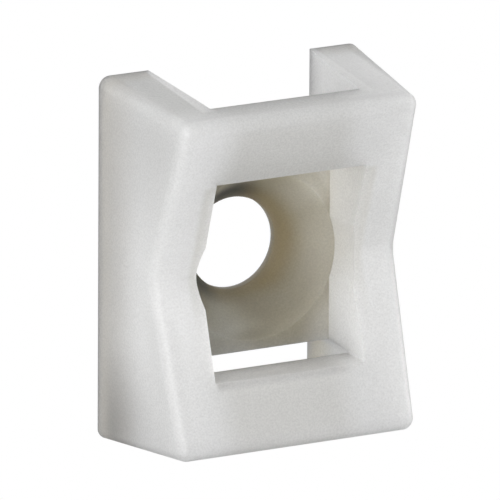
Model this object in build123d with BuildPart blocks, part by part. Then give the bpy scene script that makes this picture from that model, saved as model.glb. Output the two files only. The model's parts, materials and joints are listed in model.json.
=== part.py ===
"""Screw-down cable tie mount: one moulding in natural nylon with a V saddle for the cables.

The frame lies on the mounting face. X runs across the cheeks, the way the cables lie. Y runs
along the length from bar to bar, the way the tie lies. +Z stands out of the mounting face.
The origin is the screw hole's centre on that face.
"""

from build123d import *
import math
import os

# Outer block, which narrows from the mounting face to the saddle so that the mould lets go of it
base_width = 17.1
base_length = 22.0
height = 9.3
outer_draft = 5.3
edge_radius = 0.7

# Saddle: a shallow V, its crease running from cheek to cheek
saddle_depth = 3.5
crease_radius = 1.6

# Floor, with a countersunk screw hole that fills nearly all of it
floor_thickness = 3.6
floor_length = 11.34
screw_hole_radius = 2.8
screw_hole_land = 0.5
countersink_radius = 5.1

# Window between the two cross bars, wider at the saddle than at the floor
window_width = 9.5
window_draft = 2.2
shut_off = 0.15

# Recess behind each bar, open to the end and to the mounting face, where the tie comes out
recess_width = 10.6
recess_draft = 3.5
tie_gap = 2.3
bar_rise = 13.4


def narrowing(depth, draft):
    """What one drafted wall moves over this depth."""
    return depth * math.tan(math.radians(draft))


saddle_half_length = base_length / 2 - narrowing(height, outer_draft)
window_length = floor_length + 2 * shut_off
window_flare = narrowing(height - floor_thickness, window_draft)
underside_height = floor_thickness + tie_gap
recess_start = floor_length / 2 - narrowing(floor_thickness, recess_draft)

# The underside of a bar rises outwards from its edge at the window, which leads the tie round
bar_underside = Plane(
    origin=(0, window_length / 2 + narrowing(tie_gap, window_draft), underside_height),
    x_dir=(1, 0, 0),
    z_dir=(0, -math.sin(math.radians(bar_rise)), math.cos(math.radians(bar_rise))),
)

# The space behind the bar at the +Y end, as its mould core fills it
with BuildPart() as recess:
    with BuildSketch():
        with Locations((0, recess_start)):
            Rectangle(recess_width, base_length, align=(Align.CENTER, Align.MIN))
    extrude(amount=height, taper=recess_draft)
    split(bisect_by=bar_underside, keep=Keep.BOTTOM)

with BuildPart() as tie_mount:
    # Solid block, left taller than it will be so that the saddle's cut sets its height
    with BuildSketch():
        Rectangle(base_width, base_length)
    extrude(amount=height + saddle_depth, taper=outer_draft)

    # The saddle's two slopes meet the block's ends at its full height
    with BuildSketch(Plane.YZ):
        with BuildLine():
            mouth = 2 * saddle_half_length
            Polyline(
                (-mouth, height + saddle_depth),
                (0, height - saddle_depth),
                (mouth, height + saddle_depth),
                close=True,
            )
        make_face()
    extrude(amount=base_width, both=True, mode=Mode.SUBTRACT)
    crease = tie_mount.edges().filter_by(Axis.X).group_by(Axis.Z)[1]
    fillet(crease, crease_radius)

    # Every outer edge is rounded except those round the mounting face
    across = tie_mount.edges().filter_by(Axis.X)
    mounting_rim = tie_mount.edges().group_by(Axis.Z)[0]
    fillet(across.group_by(Axis.Z)[-1] + (tie_mount.edges() - across - mounting_rim), edge_radius)

    # Window, cut from its mouth down to the floor
    with BuildSketch(-Plane.XY.offset(height)):
        Rectangle(window_width + 2 * window_flare, window_length + 2 * window_flare)
    extrude(amount=height - floor_thickness, taper=window_draft, mode=Mode.SUBTRACT)

    # A recess behind each bar
    with PolarLocations(0, 2):
        add(recess.part, mode=Mode.SUBTRACT)

    # Screw hole, its countersink, and the round way down for the screw's head. This is wider
    # than the window, so it leaves a shallow hollow in each cheek's inner face.
    with BuildSketch(Plane.XZ):
        with BuildLine():
            Polyline(
                (0, 0),
                (screw_hole_radius, 0),
                (screw_hole_radius, screw_hole_land),
                (countersink_radius, floor_thickness),
                (countersink_radius + window_flare, height),
                (0, height),
                close=True,
            )
        make_face()
    revolve(axis=Axis.Z, mode=Mode.SUBTRACT)

tie_mount.part.label = "tie_mount"

os.makedirs("parts", exist_ok=True)
export_step(tie_mount.part, "parts/tie_mount.step")
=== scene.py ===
import json
import math

import bpy
from mathutils import Matrix, Vector


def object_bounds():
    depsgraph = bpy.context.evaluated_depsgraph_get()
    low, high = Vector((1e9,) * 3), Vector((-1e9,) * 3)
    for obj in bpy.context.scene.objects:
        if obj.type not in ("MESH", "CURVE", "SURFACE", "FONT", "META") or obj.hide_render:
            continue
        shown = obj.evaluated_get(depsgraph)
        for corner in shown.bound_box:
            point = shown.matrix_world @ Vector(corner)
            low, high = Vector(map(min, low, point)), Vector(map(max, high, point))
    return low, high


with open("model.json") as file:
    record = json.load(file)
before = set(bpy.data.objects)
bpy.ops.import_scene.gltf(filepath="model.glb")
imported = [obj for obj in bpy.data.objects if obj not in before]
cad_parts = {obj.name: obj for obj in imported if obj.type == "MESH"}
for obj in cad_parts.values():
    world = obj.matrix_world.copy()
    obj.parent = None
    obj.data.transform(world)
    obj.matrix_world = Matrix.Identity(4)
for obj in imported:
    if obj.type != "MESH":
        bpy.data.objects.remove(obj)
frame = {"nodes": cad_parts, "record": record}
cad_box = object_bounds()


# Moulding. The whole mount is one shot of natural nylon, milky and translucent, and its skin is
# fine and matte, as a blasted mould leaves it. Light sinks deep into it, so thin walls look
# darker than thick ones; the tints below also paint much of its light and shade into its base
# colour, by place on the mount. The CAD solid has its full shape and gets its material here.
class Socket:
    """A shader value that takes part in arithmetic; each operation adds its Math node."""

    def __init__(self, finish, link):
        self.finish = finish
        self.link = link

    def math(self, operation, first, second=0.0):
        return self.finish.node("ShaderNodeMath", {"operation": operation}, {0: first, 1: second})[0]

    def __add__(self, other):
        return self.math("ADD", self, other)

    def __sub__(self, other):
        return self.math("SUBTRACT", self, other)

    def __rsub__(self, other):
        return self.math("SUBTRACT", other, self)

    def __mul__(self, other):
        return self.math("MULTIPLY", self, other)

    def __abs__(self):
        return self.math("ABSOLUTE", self)

    def greater(self, other):
        """The greater of the two at each point."""
        return self.math("MAXIMUM", self, other)

    def fade(self, nothing, full):
        """Rises softly from 0 where the value is `nothing` to 1 where it is `full`."""
        return self.finish.node(
            "ShaderNodeMapRange",
            {"interpolation_type": "SMOOTHSTEP"},
            {"Value": self, "From Min": nothing, "From Max": full},
        )["Result"]

    __radd__ = __add__
    __rmul__ = __mul__


class Outputs:
    """What a node gives, by number or by name."""

    def __init__(self, finish, made):
        self.finish = finish
        self.made = made

    def __getitem__(self, key):
        return Socket(self.finish, self.made.outputs[key])


class Finish:
    """One material. node() adds a node: its type, its settings, then its inputs."""

    def __init__(self, name):
        self.material = bpy.data.materials.new(name)
        self.material.use_nodes = True
        self.tree = self.material.node_tree
        self.tree.nodes.clear()

    def node(self, kind, settings=None, inputs=None):
        made = self.tree.nodes.new(kind)
        for key, value in (settings or {}).items():
            setattr(made, key, value)
        for key, value in (inputs or {}).items():
            if isinstance(value, Socket):
                self.tree.links.new(value.link, made.inputs[key])
            else:
                made.inputs[key].default_value = value
        return Outputs(self, made)

    def tint(self, share, colour, other):
        """`colour`, turned into `other` by this share."""
        return self.node("ShaderNodeMix", {"data_type": "RGBA"}, {"Factor": share, 6: colour, 7: other})[2]


MM = 0.001
nylon = Finish("natural_nylon")
spot = nylon.node("ShaderNodeTexCoord")["Object"]
spot_mm = nylon.node("ShaderNodeVectorMath", {"operation": "SCALE"}, {0: spot, "Scale": 1 / MM})[0]
along = nylon.node("ShaderNodeSeparateXYZ", inputs={0: spot_mm})
x, y, z = along["X"], along["Y"], along["Z"]
flat_spot = nylon.node("ShaderNodeCombineXYZ", inputs={"X": x, "Y": y})[0]
from_axis = nylon.node("ShaderNodeVectorMath", {"operation": "LENGTH"}, {0: flat_spot})["Value"]

# Places on the mount, in mm like x, y and z. They come from the frame, apart from the last two.
# A fade starts and ends near one of them, or at a place in mm read off the photo.
half_width, half_length, height = (side / MM for side in cad_box[1])
openings = {opening["name"]: opening["box_m"] for opening in frame["record"]["physics"]["openings"]}
window_low, window_high = openings["window"]
cheek_face = window_high[0] / MM
bar_face = window_high[1] / MM
floor_top = window_low[2] / MM
mounts = {mount["name"]: mount for mount in frame["record"]["mounts"]}
hole_radius = mounts["screw_hole"]["dims"]["r_mm"]
countersink_radius = 5.1
saddle_slope = 0.345


def milky(level):
    """The nylon's near-white, a trace warmer than grey; a level below 1 is painted shade."""
    return (level, level, level - 0.005, 1.0)


def warm(red, green, blue):
    """A warmer tone, painted as light and shade where light has come a long way through the nylon."""
    return (red, green, blue, 1.0)


# On the front, painted shade: thick cheeks are painted lighter than thin bars. The right cheek,
# the near end, the right cheek's slope above the crease and the far bar's edge at the window are
# painted a shade darker.
right_cheek = x.fade(-3.0, 6.0)
upper_cheek = nylon.tint(right_cheek, milky(1.0), milky(0.92))
near_front = y.fade(0.0, -7.0) * z.fade(4.5, 6.5)
cheek = nylon.tint(near_front, upper_cheek, milky(0.90))
above_crease = y.fade(-0.3, 0.5) * y.fade(6.5, 2.5) * z.fade(4.6, 5.4)
creased = nylon.tint(x.fade(5.0, 6.0) * above_crease, cheek, milky(0.845))
in_bar = abs(x + 0.5).fade(5.2, 2.8) * abs(y).fade(bar_face - 0.4, bar_face + 0.4)
bar_or_cheek = nylon.tint(in_bar, creased, warm(0.77, 0.765, 0.745))
window_edge = in_bar * y.fade(4.0, 5.0) * y.fade(bar_face + 2.0, bar_face + 0.1)
bar_faded = nylon.tint(0.7 * window_edge, bar_or_cheek, warm(0.66, 0.655, 0.63))

# Painted shade: the far end's face is darker towards the left, and so are the roundings at the
# far end and along the left cheek's front.
left_end = y.fade(half_length - 1.4, half_length - 0.7) * x.fade(7.5, -1.0)
end_share = left_end * (1.0 - 0.4 * z.fade(6.0, 8.5))
ended = nylon.tint(end_share, bar_faded, warm(0.73, 0.73, 0.72))
far_rounding = y.fade(half_length - 2.2, half_length - 1.2) * z.fade(height - 1.25, height - 0.45)
rounded_end = nylon.tint(0.5 * far_rounding, ended, milky(0.72))
by_front = (z - saddle_slope * abs(y)).fade(3.4, 5.0)
at_left = x.fade(2.25 - half_width, 1.05 - half_width)
left_rounding = at_left * by_front * (0.3 + 0.7 * y.fade(-0.5, -4.0))
rounded = nylon.tint(0.6 * left_rounding, rounded_end, milky(0.74))

# Painted shade on the cheeks' sides: they darken and turn faintly warm towards the mounting
# face, most at their near corners. The right side is darker as a whole, and the left one towards
# the far end.
on_side = abs(x).fade(half_width - 1.25, half_width - 0.65)
far_from_crease = abs(y).fade(3.5, 9.5)
side = nylon.tint(on_side * (0.5 + 0.5 * far_from_crease), rounded, milky(0.78))
upper_left = on_side * x.fade(0.0, -1.0) * y.fade(0.5, 6.0)
shaded_side = nylon.tint(0.3 * upper_left, side, milky(0.58))
faded = nylon.tint(on_side * z.fade(4.9, 0.6), shaded_side, warm(0.64, 0.625, 0.60))
near_corner = on_side * z.fade(6.5, 0.5) * y.fade(-3.5, -10.5)
cornered = nylon.tint(near_corner, faded, warm(0.35, 0.34, 0.325))
on_right_side = x.fade(half_width - 1.35, half_width - 0.65)
sides = nylon.tint(on_right_side, cornered, milky(0.62))

# Painted light and shade: the recesses' walls are kept bright, and the near ones are painted warm
# towards the mounting face. The near bar is painted darker along its edge at the window, and all
# walls along the mounting face.
recess_start = abs(x).fade(cheek_face - 0.1, cheek_face + 0.3)
recess_end = abs(x).fade(cheek_face + 1.0, cheek_face + 0.8)
behind_bars = abs(y).fade(bar_face + 0.1, bar_face + 0.6) * z.fade(7.6, 7.2)
in_recess = recess_start * recess_end * behind_bars
in_far_recess = in_recess * y.fade(5.0, 7.0)
pale_recess = nylon.tint(in_recess, sides, warm(1.0, 1.0, 0.99))
warm_back = in_recess * y.fade(-5.0, -6.0) * z.fade(4.6, 0.6)
recessed = nylon.tint(warm_back, pale_recess, warm(1.0, 0.93, 0.80))
on_near_bar = abs(x).fade(cheek_face + 0.2, cheek_face) * x.fade(4.6, 2.6)
bar_edge = y.fade(-6.6, -6.1) * y.fade(-5.0, -5.6) * z.fade(5.7, 7.8)
edged = nylon.tint(bar_edge * on_near_bar, recessed, warm(0.62, 0.615, 0.605))
back_edge = z.fade(1.8, 0.2) * (0.5 - 0.5 * in_far_recess)
outside = nylon.tint(back_edge, edged, warm(0.72, 0.68, 0.60))

# Painted shade: light reaches the floor last, so it is painted dark and warm, but less so at the
# right, and least of all at the left.
in_window = abs(x).fade(cheek_face + 0.25, cheek_face + 0.15) * abs(y).fade(bar_face + 0.05, bar_face - 0.05)
on_top = in_window * z.fade(floor_top - 0.45, floor_top - 0.15)
in_countersink = from_axis.fade(countersink_radius + 0.06, countersink_radius + 0.02)
on_floor = z.fade(floor_top + 0.07, floor_top - 0.03) * on_top.greater(in_countersink)
lower = y.fade(-2.0, -3.6)
floor_edge = y.fade(-4.3, -5.0)
low_middle = lower * (1.0 - floor_edge) * x.fade(2.6, 0.6)
warm_floor = nylon.tint(low_middle, warm(0.455, 0.42, 0.325), warm(0.50, 0.465, 0.37))
right_corner = from_axis.fade(4.7, 6.2) * x.fade(2.4, 5.0)
top_right = 0.6 * y.fade(1.0, 4.0) * x.fade(1.0, 4.5)
right_part = right_corner.greater(top_right.greater(0.42 * x.fade(3.0, 5.4)))
right_floor = nylon.tint(right_part, warm_floor, warm(0.74, 0.72, 0.66))
towards_left = (x + 0.6 * y + 1.2 * floor_edge).fade(-1.2, -4.2)
left_part = towards_left * (0.25 + 0.75 * lower) * (1.0 - 0.35 * floor_edge)
floor = nylon.tint(left_part, right_floor, warm(0.84, 0.82, 0.73))

# Painted shade: the countersink darkens towards the hole's rim, most of all at the left and the far left
shaded_top = y.fade(1.0, 3.6) * x.fade(2.3, -0.7)
shaded = shaded_top.greater(x.fade(-0.8, -2.2))
warm_rim = nylon.tint(shaded, warm(0.34, 0.265, 0.13), warm(0.05, 0.045, 0.02))
lit_rim = 0.15 * from_axis.fade(hole_radius + 0.4, hole_radius + 0.05)
rim = nylon.tint(lit_rim, warm_rim, warm(0.14, 0.11, 0.06))
lit_left = y.fade(-1.8, -3.6) * x.fade(4.0, 0.5)
from_rim = from_axis + 0.45 * lit_left - 0.7 * shaded_top
deep = nylon.tint(from_rim.fade(hole_radius + 1.4, hole_radius), floor, rim)

# Painted shade: the cheeks' inner faces are a little darker towards the far end, and just above the floor
inner_wall = z.fade(9.0, 7.5) * abs(x).fade(5.9, 5.4) * y.fade(-4.0, 0.5)
before_bar = abs(y).fade(bar_face + 0.2, bar_face - 0.1)
dimmer = nylon.tint(inner_wall * before_bar, outside, warm(0.80, 0.79, 0.76))
between_bars = abs(y).fade(bar_face - 0.05, bar_face - 0.15)
near_floor = z.fade(5.0, floor_top - 0.05) * abs(x).fade(5.6, 5.3) * between_bars
wall = nylon.tint(0.25 * near_floor, dimmer, warm(0.78, 0.76, 0.70))
pale = nylon.tint(on_floor, wall, deep)

# The moulding grain shows as fine specks, and faint clouds lie under it
clouds = nylon.node("ShaderNodeTexNoise", inputs={"Vector": spot, "Scale": 420.0, "Detail": 3.0})["Fac"]
grain = nylon.node("ShaderNodeTexNoise", inputs={"Vector": spot, "Scale": 9000.0, "Detail": 3.0})["Fac"]
speck_depth = 0.36 * grain + 0.06 * clouds - 0.14
black = (0.0, 0.0, 0.0, 1.0)
mottled = nylon.tint(speck_depth, pale, black)
grain_height = 0.01 * MM
skin = nylon.node("ShaderNodeBump", inputs={"Strength": 0.5, "Distance": grain_height, "Height": grain})[0]
NYLON_IOR = 1.53
light_reach = 5.0 * MM
plastic = nylon.node(
    "ShaderNodeBsdfPrincipled",
    inputs={
        "Base Color": mottled,
        "Roughness": 0.36 + 0.22 * grain,
        "IOR": NYLON_IOR,
        "Coat Weight": 0.08,
        "Coat Roughness": 0.14,
        "Subsurface Weight": 1.0,
        "Subsurface Radius": (1.0, 1.0, 1.0),
        "Subsurface Scale": light_reach,
        "Normal": skin,
    },
)[0]
nylon.node("ShaderNodeOutputMaterial", inputs={"Surface": plastic})

moulding = frame["nodes"]["tie_mount"]
for place in moulding.material_slots:
    place.material = nylon.material


# Table. The mount lies as on clear glass, which is not modelled, above a plain white card that
# glows so evenly that it shows no edge and no shadow. A little of the card's light comes up round the mount
# from behind.
table_reach = 600 * MM
card_drop = -20 * MM
card_glow = 0.27
white = (1.0, 1.0, 1.0, 1.0)
corners = [(a * table_reach, b * table_reach, card_drop) for a, b in ((-1, -1), (1, -1), (1, 1), (-1, 1))]
table_mesh = bpy.data.meshes.new("table")
table_mesh.from_pydata(corners, [], [(0, 1, 2, 3)])
table = bpy.data.objects.new("table", table_mesh)
bpy.context.scene.collection.objects.link(table)
card = Finish("table_card")
dim = card.node("ShaderNodeEmission", inputs={"Color": white, "Strength": card_glow})[0]
bright = card.node("ShaderNodeEmission", inputs={"Color": white, "Strength": 1.0})[0]
seen = card.node("ShaderNodeLightPath")["Is Camera Ray"]
both = card.node("ShaderNodeMixShader", inputs={0: seen, 1: dim, 2: bright})[0]
card.node("ShaderNodeOutputMaterial", inputs={"Surface": both})
table_mesh.materials.append(card.material)


# Camera. It looks at the mount's front from its left and a little from beyond its far end. The
# lens is very long, so parallel edges stay nearly parallel.
TURN = math.radians(27.9)
LIFT = math.radians(16.24)
ROLL = math.radians(0.39)
DISTANCE = 735 * MM
PIXELS_PER_MM = 17.088
ORIGIN_IN_PHOTO = (228.2, 240.7)
PHOTO_WIDTH = 500
SENSOR_WIDTH = 36

toward = Vector((-math.sin(TURN) * math.cos(LIFT), math.sin(LIFT), math.cos(TURN) * math.cos(LIFT)))
level = Vector((math.cos(TURN), 0, math.sin(TURN)))
upright = toward.cross(level)
right = math.cos(ROLL) * level + math.sin(ROLL) * upright
up = math.cos(ROLL) * upright - math.sin(ROLL) * level
middle_x = (PHOTO_WIDTH / 2 - ORIGIN_IN_PHOTO[0]) / PIXELS_PER_MM * MM
middle_y = (ORIGIN_IN_PHOTO[1] - PHOTO_WIDTH / 2) / PIXELS_PER_MM * MM
camera_data = bpy.data.cameras.new("camera")
camera_data.sensor_width = SENSOR_WIDTH
camera_data.lens = PIXELS_PER_MM * DISTANCE / MM / PHOTO_WIDTH * SENSOR_WIDTH
camera_data.clip_start = 0.01
camera = bpy.data.objects.new("camera", camera_data)
turned = Matrix((right, up, toward)).transposed().to_4x4()
camera.matrix_world = Matrix.Translation(right * middle_x + up * middle_y + toward * DISTANCE) @ turned
bpy.context.scene.collection.objects.link(camera)
bpy.context.scene.camera = camera


# Lamps. Two broad softboxes stand low, one at the right and one left of the far end. One stands
# high at the left, and two at the near end. A small one low at the left puts a glint on the left
# cheek's rounding. The white room round them is there for the camera alone and gives no light.
LAMP_DISTANCE = 600 * MM


def softbox(name, bearing, elevation, width, tall, power):
    """A lamp aimed at the mount: bearing (0 is +X, 90 is +Y) and elevation in degrees, sizes in m."""
    lamp_data = bpy.data.lights.new(name, "AREA")
    lamp_data.shape = "RECTANGLE"
    lamp_data.size = width
    lamp_data.size_y = tall
    lamp_data.energy = power
    lamp = bpy.data.objects.new(name, lamp_data)
    a = math.radians(bearing)
    e = math.radians(elevation)
    aim = Vector((math.cos(e) * math.cos(a), math.cos(e) * math.sin(a), math.sin(e)))
    lamp.location = LAMP_DISTANCE * aim
    lamp.rotation_euler = lamp.location.to_track_quat("Z", "Y").to_euler()
    bpy.context.scene.collection.objects.link(lamp)


softbox("right_softbox", bearing=14, elevation=11, width=0.5, tall=0.3, power=2.55)
softbox("left_softbox", bearing=126, elevation=13, width=0.4, tall=0.3, power=1.45)
softbox("high_softbox", bearing=162, elevation=47, width=0.35, tall=0.35, power=1.6)
softbox("near_left_softbox", bearing=214, elevation=36, width=0.3, tall=0.3, power=1.2)
softbox("near_right_softbox", bearing=325, elevation=30, width=0.3, tall=0.3, power=0.75)
softbox("left_spark", bearing=158, elevation=4, width=0.03, tall=0.03, power=0.1)

world = bpy.data.worlds.new("studio")
world.use_nodes = True
room = world.node_tree.nodes["Background"]
ray = world.node_tree.nodes.new("ShaderNodeLightPath")
room.inputs["Color"].default_value = white
world.node_tree.links.new(ray.outputs["Is Camera Ray"], room.inputs["Strength"])
bpy.context.scene.world = world
bpy.context.scene.view_settings.view_transform = "Standard"
